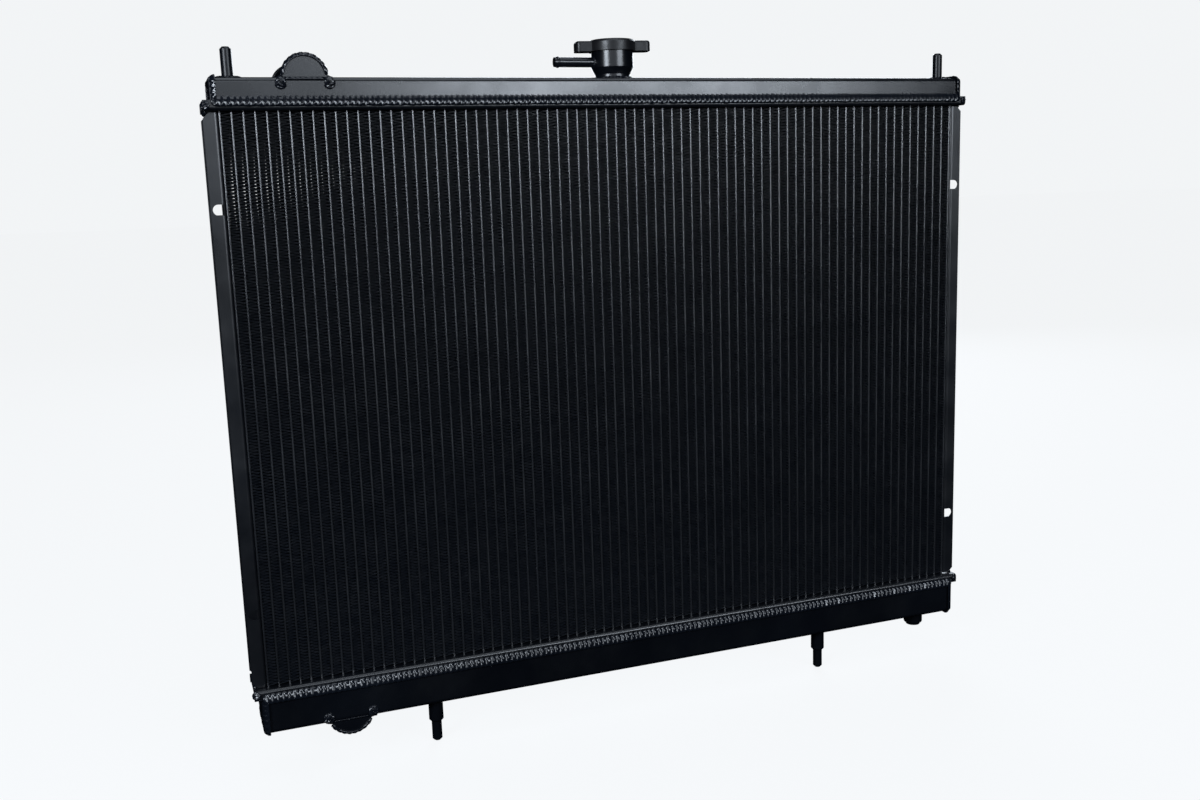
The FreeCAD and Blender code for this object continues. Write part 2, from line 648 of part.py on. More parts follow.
def cap_lugs():
    """The two finger lugs, one each side of the lid."""
    base, x, span, width = level(TANK_TOP), dim("neck_x"), dim("lug_span"), dim("lug_width")
    lug_top = base + dim("cap_top") - dim("lug_drop")
    bar = Part.makeBox(span, width, dim("lug_depth"), V(x - span / 2, -width / 2, lug_top - dim("lug_depth")))
    upright = [edge for edge in bar.Edges if edge.BoundBox.ZLength > 1]
    bar = bar.makeFillet(dim("lug_corner"), upright)
    rims = [edge for edge in bar.Edges if at(edge, z=lug_top)]
    bar = bar.makeFillet(dim("lug_edge"), rims)
    bar.rotate(V(x, 0, 0), Z_AXIS, -dim("lug_turn"))
    return bar.cut(Part.makeCylinder((dim("cap_dia") - dim("cap_sheet")) / 2, dim("cap_top"), V(x, 0, base)))


def cap_tabs():
    """The two locking tabs that hook under the cam flange, in front and behind when the cap is shut."""
    sheet_t, x, reach, width = dim("cap_sheet"), dim("neck_x"), dim("cap_dia") / 2, dim("tab_width")
    low = level(TANK_TOP) + dim("cap_bottom")
    disc = Part.makeCylinder(reach - sheet_t / 2, sheet_t, V(x, 0, low))
    tab_ring = disc.cut(Part.makeCylinder(dim("tab_inner_dia") / 2, sheet_t, V(x, 0, low)))
    bar = Part.makeBox(width, 2 * reach, sheet_t, V(x - width / 2, -reach, low))
    return tab_ring.common(bar)


node(feature("cap_shell_shape", cap_lid().fuse([cap_lugs(), cap_tabs()]).removeSplitter()), "cap_shell")


def washer(label, inner, outer, low, high):
    """A flat round piece of the cap, about the neck's axis."""
    shape = turned([(inner, low), (outer, low), (outer, high), (inner, high)], dim("neck_x"))
    return node(feature(label + "_shape", shape), label)


washer("cap_upper_seal", dim("upper_seal_inner") / 2, dim("upper_seal_dia") / 2, dim("lip_top") + GAP, SEAL_TOP)
washer("cap_spring_disc", RIVET_HOLE, dim("disc_dia") / 2, SEAL_TOP + GAP, DISC_TOP)
washer("pressure_seal", dim("gasket_inner") / 2, dim("gasket_dia") / 2, GASKET_LOW, GASKET_TOP)


def cap_bell():
    """The cage that holds the pressure spring, open below."""
    outer, foot = dim("bell_dia") / 2, dim("bell_foot")
    inner = outer - dim("bell_sheet")
    return turned([(RIVET_HOLE, SEAL_TOP), (outer, SEAL_TOP), (outer, foot), (inner, foot),
                   (inner, BELL_LOW), (RIVET_HOLE, BELL_LOW)], dim("neck_x"))


node(feature("cap_bell_shape", cap_bell()), "cap_bell")


def cap_rivet():
    """Holds the cage and the spring disc under the lid: head above, collar between, head below."""
    shank, head, foot = dim("rivet_dia") / 2, dim("rivet_head_dia") / 2, dim("rivet_foot_dia") / 2
    lid_top, rise = dim("cap_top"), dim("rivet_rise")
    lid_low = lid_top - dim("cap_sheet")
    play = 2 * GAP
    return turned([(0, BELL_LOW - 1), (foot, BELL_LOW - 1), (foot, BELL_LOW - GAP), (shank, BELL_LOW - GAP),
                   (shank, DISC_TOP + GAP), (head, DISC_TOP + GAP), (head, lid_low - play),
                   (shank, lid_low - play), (shank, lid_top + play), (head, lid_top + play),
                   (head - 1, lid_top + rise - 2 * play), (0, lid_top + rise)], dim("neck_x"))


node(feature("cap_rivet_shape", cap_rivet()), "cap_rivet")


def coil(label, dia, wire, turns, low, high):
    """A closed coil spring about the neck's axis."""
    height = high - low - wire
    helix = Part.makeHelix(height / turns, height, dia / 2)
    section = Part.Wire(Part.makeCircle(wire / 2, V(dia / 2, 0, 0), Y_AXIS))
    spring = Part.Wire(helix.Edges).makePipeShell([section], True, True)
    spring.translate(V(dim("neck_x"), 0, level(TANK_TOP) + low + wire / 2))
    return node(feature(label + "_shape", spring), label)


coil("pressure_spring", dim("spring_dia"), dim("spring_wire"), dim("spring_turns"),
     PLATE_TOP + GAP, BELL_LOW - GAP)


def pressure_plate():
    """The plate that the pressure spring bears on, with a ring of vent holes that the vacuum valve closes."""
    hole, rim = dim("stem_hole") / 2, dim("plate_dia") / 2
    plate = turned([(hole, PLATE_LOW), (rim, PLATE_LOW), (rim, PLATE_TOP), (hole, PLATE_TOP)], dim("neck_x"))
    vents, reach, low = int(dim("vent_count")), dim("vent_circle") / 2, level(TANK_TOP) + PLATE_LOW - 1
    for i in range(vents):
        turn = 2 * math.pi * i / vents
        foot = V(dim("neck_x") + reach * math.cos(turn), reach * math.sin(turn), low)
        plate = plate.cut(Part.makeCylinder(dim("vent_dia") / 2, dim("plate_thick") + 2, foot))
    return plate


node(feature("pressure_plate_shape", pressure_plate()), "pressure_plate")

COLLAR_LOW = PLATE_TOP + dim("collar_rise")


def vacuum_valve():
    """A small disc under the pressure plate, on a stem with a spring collar at its top."""
    disc_top, collar_top = PLATE_LOW - 2 * GAP, COLLAR_LOW + dim("collar_thick")
    disc_low = disc_top - dim("valve_disc")
    disc, stem, collar = dim("valve_dia") / 2, dim("stem_dia") / 2, dim("collar_dia") / 2
    return turned([(0, disc_low), (disc, disc_low), (disc, disc_top), (stem, disc_top), (stem, COLLAR_LOW),
                   (collar, COLLAR_LOW), (collar, collar_top), (0, collar_top)], dim("neck_x"))


node(feature("vacuum_valve_shape", vacuum_valve()), "vacuum_valve")
coil("vacuum_spring", dim("valve_spring_dia"), dim("valve_wire"), dim("valve_turns"),
     PLATE_TOP + GAP, COLLAR_LOW - GAP)


# ---------------------------------------------------------------- drain
BOSS_LOW = "shoulder_length - boss_height"
boss_rod = cylinder("drain_boss_rod", "boss_dia / 2", "boss_height", "drain_x", "0", BOSS_LOW)
boss_rim = level(BOSS_LOW)
boss = fillet("drain_boss_round", boss_rod, dim("boss_round"), lambda edge: at(edge, z=boss_rim))
boss_bore = cylinder("drain_boss_bore", "drain_thread / 2 + 0.05", "boss_height", "drain_x", "0", BOSS_LOW)
boss_recess = cylinder("drain_boss_recess", "plug_head_dia / 2 + 0.2", "boss_recess", "drain_x", "0", BOSS_LOW)
node(cut("drain_boss_shape", boss, fuse("drain_boss_hollow", boss_bore, boss_recess)), "drain_boss")

WASHER_LOW = f"{BOSS_LOW} + boss_recess - 0.05 - washer_thick"
node(ring("drain_washer_shape", "plug_head_dia / 2", "drain_thread / 2 + 0.1", "washer_thick",
          "drain_x", "0", WASHER_LOW), "drain_washer")
HEAD_TOP = f"{WASHER_LOW} - 0.05"
head = cylinder("drain_plug_head", "plug_head_dia / 2", "plug_head", "drain_x", "0", f"{HEAD_TOP} - plug_head")
shank = cylinder("drain_plug_shank", "drain_thread / 2", "boss_height - boss_recess + washer_thick",
                 "drain_x", "0", HEAD_TOP)
socket = doc.addObject("Part::Prism", "drain_plug_socket")
socket.Polygon = 6
bind(socket, Circumradius="plug_key / sqrt(3)", Height="plug_head - 1",
     x="drain_x", y="0", z=f"{HEAD_TOP} - plug_head")
node(cut("drain_plug_shape", fuse("drain_plug_solid", head, shank), socket), "drain_plug")


# ---------------------------------------------------------------- checks and files
doc.recompute()
for obj in doc.Objects:
    if "Invalid" in obj.State or "Error" in obj.State:
        raise RuntimeError(f"{obj.Label} failed: {obj.State}")
os.makedirs("parts", exist_ok=True)
for obj in NODES:
    if obj.Shape.isNull() or not obj.Shape.isValid():
        raise RuntimeError(f"{obj.Label} has no valid shape")
    bounds = obj.Shape.BoundBox
    print(f"{obj.Label:22s} {len(obj.Shape.Solids):3d} solids {obj.Shape.Volume:12.1f} mm3  "
          f"x {bounds.XMin:.1f}..{bounds.XMax:.1f} y {bounds.YMin:.1f}..{bounds.YMax:.1f} "
          f"z {bounds.ZMin:.1f}..{bounds.ZMax:.1f}")
    obj.Shape.exportStep(f"parts/{obj.Label}.step")
print(len(NODES), "sub-parts")
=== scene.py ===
# %% [markdown]
# # A black-painted car radiator
# This lesson dresses a finished mechanical model of a welded aluminium radiator. The frame holds
# every part at its real size and place. Here each part gets its paint, and the things that are too
# fine for the drawing, the folded fins and the rippled weld beads, are modelled as meshes.

# %% Load the frame and the tools
import math

import bmesh
import bpy
from mathutils import Matrix, Vector, noise


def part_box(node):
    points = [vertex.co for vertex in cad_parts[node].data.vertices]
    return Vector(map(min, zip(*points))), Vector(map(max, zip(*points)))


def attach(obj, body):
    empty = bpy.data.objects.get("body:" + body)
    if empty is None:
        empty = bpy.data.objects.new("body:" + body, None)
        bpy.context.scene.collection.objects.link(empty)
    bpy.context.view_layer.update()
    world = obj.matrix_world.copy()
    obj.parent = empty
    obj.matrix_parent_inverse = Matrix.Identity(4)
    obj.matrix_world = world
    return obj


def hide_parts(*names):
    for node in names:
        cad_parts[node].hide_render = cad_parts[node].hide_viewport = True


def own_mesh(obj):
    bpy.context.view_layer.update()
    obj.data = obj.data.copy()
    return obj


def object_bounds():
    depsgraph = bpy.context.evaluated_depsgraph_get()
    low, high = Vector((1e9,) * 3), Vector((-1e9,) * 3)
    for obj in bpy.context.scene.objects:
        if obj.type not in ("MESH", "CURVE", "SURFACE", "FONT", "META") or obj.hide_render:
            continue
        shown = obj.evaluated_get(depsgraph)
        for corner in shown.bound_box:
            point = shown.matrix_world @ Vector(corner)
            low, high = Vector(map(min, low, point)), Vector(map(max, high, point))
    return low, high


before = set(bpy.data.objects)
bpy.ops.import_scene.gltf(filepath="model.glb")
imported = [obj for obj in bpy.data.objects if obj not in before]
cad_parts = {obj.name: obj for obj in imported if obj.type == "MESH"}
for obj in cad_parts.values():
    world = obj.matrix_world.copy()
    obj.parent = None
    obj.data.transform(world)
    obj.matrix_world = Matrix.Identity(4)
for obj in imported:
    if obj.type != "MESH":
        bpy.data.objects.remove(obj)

CAD_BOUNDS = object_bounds()
MM = 0.001
X, Y, Z = Vector((1, 0, 0)), Vector((0, 1, 0)), Vector((0, 0, 1))

# %% [markdown]
# ## Reading sizes from the frame
# Every later step places its piece from the boxes of the parts around it, so a change of the
# drawing moves the finish with it. A box is the lowest and the highest corner of a part.

# %% Sizes that several pieces need
top_tank_low, top_tank_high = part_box("top_tank_shell")
bottom_tank_low, bottom_tank_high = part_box("bottom_tank_shell")
top_header_low, top_header_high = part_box("top_header_plate")
bottom_header_low, bottom_header_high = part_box("bottom_header_plate")
tubes_low, tubes_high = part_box("core_tubes")
FRONT, BACK = top_tank_low.y, top_tank_high.y
MIDDLE = (FRONT + BACK) / 2
TANK_TOP, TANK_UNDER = top_tank_high.z, bottom_tank_low.z
TUBE_PITCH = 10 * MM
TUBE_THICK = 2 * MM
TUBES = round((tubes_high.x - tubes_low.x - TUBE_THICK) / TUBE_PITCH) + 1
print("tubes:", TUBES, "tank face at y =", round(FRONT, 4))

# %% [markdown]
# ## One helper that finishes a mesh
# A new piece is built in a bmesh, in metres, where it belongs. This helper merges stray doubles,
# turns the faces outwards, smooths all but the sharp edges, and hands the piece to the fixed body of
# the radiator, with the material slot that it takes its finish from.


# %% Finish a piece
def finish_piece(name, bm, material, sharp):
    bmesh.ops.remove_doubles(bm, verts=bm.verts, dist=0.001 * MM)
    bmesh.ops.recalc_face_normals(bm, faces=bm.faces)
    mesh = bpy.data.meshes.new(name)
    bm.to_mesh(mesh)
    bm.free()
    mesh.shade_smooth()
    mesh.set_sharp_from_angle(angle=math.radians(sharp))
    mesh.materials.append(material)
    piece = bpy.data.objects.new(name, mesh)
    bpy.context.scene.collection.objects.link(piece)
    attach(piece, "root")
    print(f"{name}: {len(mesh.polygons)} faces")
    return piece


# %% [markdown]
# ## A paint to start from
# All the finishes here share a few ingredients: a Principled shader, a noise that varies the gloss,
# and one or two bump layers. The pattern is read from Object coordinates, in metres, so a scale of
# 900 means grains of about a millimetre. Constants go straight on the shader's own sockets.


# %% Material helpers
def new_material(name, color, roughness, metallic=0.0, specular=0.5):
    material = bpy.data.materials.new(name)
    material.use_nodes = True
    shader = material.node_tree.nodes["Principled BSDF"]
    shader.inputs["Base Color"].default_value = (*color, 1)
    shader.inputs["Roughness"].default_value = roughness
    shader.inputs["Metallic"].default_value = metallic
    shader.inputs["Specular IOR Level"].default_value = specular
    return material, material.node_tree, shader


def object_coordinates(tree, stretch=(1, 1, 1)):
    where = tree.nodes.new("ShaderNodeTexCoord")
    mapping = tree.nodes.new("ShaderNodeMapping")
    mapping.inputs["Scale"].default_value = stretch
    tree.links.new(where.outputs["Object"], mapping.inputs["Vector"])
    return mapping.outputs["Vector"]


def grain(tree, scale, detail=2.0, stretch=(1, 1, 1)):
    texture = tree.nodes.new("ShaderNodeTexNoise")
    texture.inputs["Scale"].default_value = scale
    texture.inputs["Detail"].default_value = detail
    tree.links.new(object_coordinates(tree, stretch), texture.inputs["Vector"])
    return texture.outputs["Fac"]


def spread(tree, value, low, high, source_low=0.3, source_high=0.7):
    remap = tree.nodes.new("ShaderNodeMapRange")
    remap.inputs["From Min"].default_value = source_low
    remap.inputs["From Max"].default_value = source_high
    remap.inputs["To Min"].default_value = low
    remap.inputs["To Max"].default_value = high
    tree.links.new(value, remap.inputs["Value"])
    return remap.outputs["Result"]


def two_tone(tree, value, dark, light):
    mix = tree.nodes.new("ShaderNodeMix")
    mix.data_type = "RGBA"
    mix.inputs["A"].default_value = (*dark, 1)
    mix.inputs["B"].default_value = (*light, 1)
    tree.links.new(value, mix.inputs["Factor"])
    return mix.outputs["Result"]


def bump(tree, shader, height, strength, distance):
    node = tree.nodes.new("ShaderNodeBump")
    node.inputs["Strength"].default_value = strength
    node.inputs["Distance"].default_value = distance
    tree.links.new(height, node.inputs["Height"])
    before = shader.inputs["Normal"].links
    if before:
        tree.links.new(before[0].from_socket, node.inputs["Normal"])
    tree.links.new(node.outputs["Normal"], shader.inputs["Normal"])


# %% [markdown]
# ## The black paint of the tanks
# The tanks, headers and side plates carry a satin black paint over bent sheet. Up close it has an
# orange peel of about a millimetre, and the sheet under it is never quite flat, so broad reflections
# wander a little. A faint change of gloss keeps large faces from looking computed.


# %% Paint finishes
def black_paint(name, roughness, peel=0.12, tint=(0.0020, 0.0027, 0.0042), specular=0.62):
    material, tree, shader = new_material(name, tint, roughness, specular=specular)
    gloss = spread(tree, grain(tree, 26, 4), roughness - 0.05, roughness + 0.06)
    tree.links.new(gloss, shader.inputs["Roughness"])
    shade = two_tone(tree, spread(tree, grain(tree, 9, 5), 0, 1),
                     tuple(c * 0.75 for c in tint), tuple(c * 1.3 for c in tint))
    tree.links.new(shade, shader.inputs["Base Color"])
    bump(tree, shader, grain(tree, 900, 2), peel, 0.05 * MM)
    bump(tree, shader, grain(tree, 14, 1), 0.18, 0.9 * MM)
    return material


TANK_PAINT = black_paint("satin_black_tank_paint", 0.24)
HEADER_PAINT = black_paint("satin_black_header_paint", 0.30)
PLATE_PAINT = black_paint("satin_black_side_plate_paint", 0.31, specular=0.75)
WELD_PAINT = black_paint("black_paint_over_weld", 0.18, peel=0.1, tint=(0.0040, 0.0052, 0.0080),
                         specular=0.5)
PIN_PAINT = black_paint("gloss_black_pin_paint", 0.30, peel=0.03, specular=0.22)
NECK_PAINT = black_paint("gloss_black_neck_paint", 0.25, peel=0.06, specular=0.42)
# The tubes' black is lighter than the tanks': a painted highlight that brightens their round noses.
TUBE_PAINT = black_paint("black_tube_paint_lightened_as_highlight", 0.27, peel=0.1, tint=(0.008, 0.009, 0.011),
                         specular=1.0)


# %% [markdown]
# ## The fins' finish
# Each leg of a fold is sliced into louvres that lie across the air's way. Their pitch is about a
# millimetre, and a banded wave along the depth of the core gives their ridges. The same wave makes
# the colour darker in each dip and lighter on each ridge, a painted shade and highlight. The rim,
# which is the folds' front edge, gets a lighter colour, a painted highlight of the edges catching
# the light, so that it stands out from the dark gaps behind it.


# %% Fin paint with louvres
FIN_FRONT, FIN_BACK = tubes_low.y + 0.6 * MM, tubes_high.y - 0.6 * MM
# How deep the painted highlight on the folds' front edge reaches.
RIM_HIGHLIGHT_DEPTH = 1.2 * MM
LOUVRE_BANDS = 290


def fin_paint():
    material, tree, shader = new_material("matt_black_fin_paint", (0.014, 0.014, 0.016), 0.42, specular=0.4)
    bands = tree.nodes.new("ShaderNodeTexWave")
    bands.wave_type = "BANDS"
    bands.bands_direction = "Y"
    bands.wave_profile = "SAW"
    bands.inputs["Scale"].default_value = LOUVRE_BANDS
    bands.inputs["Distortion"].default_value = 0.15
    tree.links.new(object_coordinates(tree), bands.inputs["Vector"])
    # The louvre wave also sets the colour, darker in each dip and lighter on each ridge: painted shade and
    # highlight.
    foil = two_tone(tree, bands.outputs["Fac"], (0.0008, 0.0010, 0.0016), (0.004, 0.0052, 0.008))
    # The folds' front edge, the rim, is mixed to a lighter colour below: a painted highlight.
    split = tree.nodes.new("ShaderNodeSeparateXYZ")
    tree.links.new(object_coordinates(tree), split.inputs["Vector"])
    rim_highlight = spread(tree, split.outputs["Y"], 1, 0, FIN_FRONT, FIN_FRONT + RIM_HIGHLIGHT_DEPTH)
    mix = tree.nodes.new("ShaderNodeMix")
    mix.data_type = "RGBA"
    mix.inputs["B"].default_value = (0.007, 0.009, 0.013, 1)
    tree.links.new(foil, mix.inputs["A"])
    tree.links.new(rim_highlight, mix.inputs["Factor"])
    tree.links.new(mix.outputs["Result"], shader.inputs["Base Color"])
    gloss = spread(tree, grain(tree, 160, 3), 0.32, 0.55)
    tree.links.new(gloss, shader.inputs["Roughness"])
    bump(tree, shader, bands.outputs["Fac"], 0.8, 0.25 * MM)
    return material


FIN_PAINT = fin_paint()


# %% [markdown]
# ## Cap, springs, brass and rubber
# The cap is pressed steel under a black coating, a little rougher than the paint. Its inside pieces
# are bright steel, brass and rubber, which show only when somebody takes the part apart, and they
# still get a finish of their own.


# %% Other finishes
def cap_coating():
    material, tree, shader = new_material("black_coated_cap_steel", (0.006, 0.006, 0.007), 0.36,
                                          specular=0.30)
    tree.links.new(spread(tree, grain(tree, 140, 5), 0.30, 0.48), shader.inputs["Roughness"])
    bump(tree, shader, grain(tree, 1400, 2), 0.25, 0.04 * MM)
    return material


def bright_metal(name, color, roughness, stretch):
    material, tree, shader = new_material(name, color, roughness, metallic=1.0)
    tree.links.new(spread(tree, grain(tree, 300, 3, stretch), roughness - 0.07, roughness + 0.1),
                   shader.inputs["Roughness"])
    bump(tree, shader, grain(tree, 1100, 2, stretch), 0.15, 0.03 * MM)
    return material


def moulded_rubber():
    material, tree, shader = new_material("moulded_rubber", (0.02, 0.02, 0.021), 0.62, specular=0.35)
    tree.links.new(spread(tree, grain(tree, 220, 4), 0.52, 0.72), shader.inputs["Roughness"])
    bump(tree, shader, grain(tree, 1600, 3), 0.3, 0.05 * MM)
    return material


CAP_COATING = cap_coating()
SPRING_STEEL = bright_metal("bright_spring_steel", (0.56, 0.56, 0.55), 0.26, (1, 1, 6))
VALVE_BRASS = bright_metal("valve_brass", (0.72, 0.52, 0.24), 0.28, (1, 1, 4))
PLUG_PAINT = black_paint("black_drain_plug_paint", 0.3)
RUBBER = moulded_rubber()

# %% [markdown]
# ## Dressing the parts that stay
# Most parts already have their right shape, so they only need the right finish. Assigning to the
# part's material slots leaves its mesh and its place alone.

# %% Give the carried-over parts their finish
FINISH_OF_NODE = {
    "core_tubes": TUBE_PAINT, "top_tank_shell": TANK_PAINT, "bottom_tank_shell": TANK_PAINT,
    "top_header_plate": HEADER_PAINT, "bottom_header_plate": HEADER_PAINT,
    "side_plate_left": PLATE_PAINT, "side_plate_right": PLATE_PAINT,
    "inlet_pipe": TANK_PAINT, "outlet_pipe": TANK_PAINT,
    "inlet_end_plate": TANK_PAINT, "outlet_end_plate": TANK_PAINT,
    "filler_neck": NECK_PAINT, "overflow_nipple": NECK_PAINT, "drain_boss": PIN_PAINT,
    "cap_shell": CAP_COATING, "cap_rivet": CAP_COATING, "cap_spring_disc": SPRING_STEEL,
    "cap_bell": SPRING_STEEL, "pressure_plate": SPRING_STEEL, "pressure_spring": SPRING_STEEL,
    "vacuum_spring": SPRING_STEEL, "vacuum_valve": VALVE_BRASS, "drain_plug": PLUG_PAINT,
    "cap_upper_seal": RUBBER, "pressure_seal": RUBBER, "drain_washer": RUBBER,
}
for side in ("left", "right"):
    for tank in ("top", "bottom"):
        FINISH_OF_NODE[f"{tank}_tank_cap_{side}"] = TANK_PAINT
        FINISH_OF_NODE[f"{tank}_pin_{side}"] = PIN_PAINT

for node_name, finish in FINISH_OF_NODE.items():
    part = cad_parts[node_name]
    part.data.materials.clear()
    part.data.materials.append(finish)
print("parts dressed:", len(FINISH_OF_NODE))

# %% [markdown]
# ## The cap's springs
# The cap holds two coil springs, and each is pressed together when its valve opens. Here each spring
# only gets a mesh of its own.


# %% Give both springs a mesh of their own
def shorten_with(spring_name):
    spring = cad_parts[spring_name]
    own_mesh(spring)


shorten_with("pressure_spring")
shorten_with("vacuum_spring")

# %% [markdown]
# ## Folded fins
# A fin is one strip of foil folded to and fro between two tubes, nearly two hundred times. It could
# be an Array modifier on one fold. Here a spin with no angle does the copying, because it repeats
# geometry along a line and leaves a plain mesh. One fold is five points, pulled through the depth of
# the core in two halves, up and down again, as the two banks of louvres lead the air. So nobody can
# look straight through. The foil gets its thickness last.

# %% One fold, one strip, one bank
FOLD_PITCH = 3.0 * MM
FOLD_CREST = 0.45 * MM
FOIL = 0.2 * MM
LOUVRE_RISE = 1.6 * MM
BRAZE_GAP = 0.02 * MM
HEADER_GAP = 0.8 * MM
FIN_REACH = (TUBE_PITCH - TUBE_THICK) / 2 - BRAZE_GAP


def fin_strip(bm, x, low, folds, pitch):
    """One strip about the vertical line at x."""
    reach = FIN_REACH - FOIL / 2
    corners = [(-reach, 0), (-reach, FOLD_CREST), (reach, pitch / 2), (reach, pitch / 2 + FOLD_CREST),
               (-reach, pitch)]
    verts = [bm.verts.new((x + dx, FIN_FRONT, low + dz)) for dx, dz in corners]
    edges = [bm.edges.new(pair) for pair in zip(verts, verts[1:])]
    for rise in (LOUVRE_RISE, -LOUVRE_RISE):
        wall = bmesh.ops.extrude_edge_only(bm, edges=edges)["geom"]
        edges = [item for item in wall if isinstance(item, bmesh.types.BMEdge)]
        moved = [item for item in wall if isinstance(item, bmesh.types.BMVert)]
        bmesh.ops.translate(bm, verts=moved, vec=(0, (FIN_BACK - FIN_FRONT) / 2, rise))
    bmesh.ops.spin(bm, geom=bm.verts[:] + bm.edges[:] + bm.faces[:], cent=(0, 0, 0), axis=(0, 0, 1),
                   dvec=(0, 0, pitch), angle=0, steps=folds - 1, use_duplicate=True)
    bmesh.ops.remove_doubles(bm, verts=bm.verts, dist=0.02 * MM)
    bmesh.ops.recalc_face_normals(bm, faces=bm.faces)
    bmesh.ops.solidify(bm, geom=bm.verts[:] + bm.edges[:] + bm.faces[:], thickness=FOIL)


def fin_bank(number):
    """The strips of one bank, from the box of the drawn bank that they replace."""
    low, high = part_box(f"fin_bank_{number}")
    strips = round((high.x - low.x + TUBE_THICK) / TUBE_PITCH)
    bottom, top = bottom_header_high.z + HEADER_GAP, top_header_low.z - HEADER_GAP
    folds = round((top - bottom) / FOLD_PITCH)
    bm = bmesh.new()
    fin_strip(bm, low.x + FIN_REACH, bottom, folds, (top - bottom) / folds)
    bmesh.ops.spin(bm, geom=bm.verts[:] + bm.edges[:] + bm.faces[:], cent=(0, 0, 0), axis=(0, 0, 1),
                   dvec=(TUBE_PITCH, 0, 0), angle=0, steps=strips - 1, use_duplicate=True)
    bank = finish_piece(f"folded_fins_{number}", bm, FIN_PAINT, sharp=20)
    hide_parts(f"fin_bank_{number}")
    return folds * strips


print("folds in all:", sum(fin_bank(number) for number in (1, 2, 3, 4)))

# %% [markdown]
# ## Weld beads
# The seams are welded by hand, and each dip of the filler rod leaves one crescent ripple. The bead is
# a grid that is rolled into a closed sleeve along the seam. The half of the sleeve above the metal is
# lifted by the ripples, and the half below is sunk into the seam, so the bead has no open edge.
# Noise makes the spacing and the width as uneven as a steady hand does.

# %% The bead maker
RIPPLE = 5.2 * MM
STEPS_PER_RIPPLE = 8
AROUND = 14


def seam_length(path):
    return sum((b[0] - a[0]).length for a, b in zip(path, path[1:]))


def along_seam(path, s):
    """Point, direction and outward normal at distance s along the seam."""
    for (a, normal_a), (b, normal_b) in zip(path, path[1:]):
        run = (b - a).length
        if s <= run or b is path[-1][0]:
            t = min(max(s / run, 0), 1)
            return a.lerp(b, t), (b - a).normalized(), normal_a.lerp(normal_b, t).normalized()
        s -= run


def bead_shape(s, u, length, width, height, seed, closed, ripple):
    """Half width and lift of the bead at distance s, at u from edge to edge."""
    wander = noise.noise(Vector((s / ripple * 0.45, seed, 0)))
    swell = noise.noise(Vector((s / ripple * 0.9, seed, 7)))
    phase = s / ripple + 0.7 * u * u + 0.28 * wander
    dime = 1 - (phase % 1) ** 1.6
    half = width / 2 * (1 + 0.10 * swell)
    lift = height * (0.32 + 0.68 * dime) * (1 + 0.18 * swell)
    if not closed:
        from_end = min(s, length - s) / (width / 2)
        close = math.sqrt(max(0.0, 1 - (1 - min(from_end, 1)) ** 2))
        half, lift = half * close, lift * (0.25 + 0.75 * close)
    return half, lift


def weld_bead(name, path, width, height, seed, closed=False, ripple=RIPPLE):
    """A rippled bead along path, a list of (point, outward normal)."""
    if closed:
        path = path + path[:1]
    length = seam_length(path)
    ripples = max(round(length / ripple), 3)
    spacing = length / ripples
    bm = bmesh.new()
    bmesh.ops.create_grid(bm, x_segments=ripples * STEPS_PER_RIPPLE, y_segments=AROUND, size=1)
    for vert in bm.verts:
        s = (vert.co.x + 1) / 2 * length
        turn = vert.co.y * math.pi
        point, direction, normal = along_seam(path, s)
        half, lift = bead_shape(s, math.sin(turn), length, width, height, seed, closed, spacing)
        rise = math.cos(turn)
        rise = lift * rise ** 0.75 if rise > 0 else 0.35 * height * rise
        vert.co = point + direction.cross(normal) * (half * math.sin(turn)) + normal * rise
    bmesh.ops.remove_doubles(bm, verts=bm.verts, dist=0.01 * MM)
    bmesh.ops.holes_fill(bm, edges=[edge for edge in bm.edges if edge.is_boundary], sides=AROUND + 2)
    return finish_piece(name, bm, WELD_PAINT, sharp=75)


# %% [markdown]
# ### Long seams
# Each tank meets its header in two straight seams, one in front and one behind. They stop at the
# tank's ends, where the beads of the end caps take over. The beads sag a little, so they face upwards.

# %% Seams between tanks and headers
SEAMS = {
    "top": ((top_header_high.z + top_tank_low.z) / 2, 10.4 * MM, -1.0 * MM),
    "bottom": ((bottom_header_low.z + bottom_tank_high.z) / 2, 10.4 * MM, 1.0 * MM),
}
SEAM_HALF = top_tank_high.x + 3 * MM
for tank, (seam_z, seam_width, towards_header) in SEAMS.items():
    for face, y, normal in (("front", FRONT, -Y), ("back", BACK, Y)):
        facing = (normal + 0.36 * Z).normalized()
        seam = [(Vector((x, y, seam_z + towards_header)), facing) for x in (-SEAM_HALF, SEAM_HALF)]
        weld_bead(f"{tank}_seam_weld_{face}", seam, seam_width, 2.6 * MM, seed=len(tank) + y)

# %% [markdown]
# ### End caps
# The bead of an end cap climbs one corner of the tank, crosses its closed side and comes down the
# other corner. At the tank's bent edges the path follows a quarter circle.


# %% End cap beads
def quarter(centre, radius, start, end, x_lean, steps=6):
    """Points on a bent edge, with normals that lean outwards along X."""
    points = []
    for i in range(steps + 1):
        angle = math.radians(start + (end - start) * i / steps)
        outward = Vector((0, math.cos(angle), math.sin(angle)))
        points.append((centre + outward * radius, (outward + X * x_lean).normalized()))
    return points


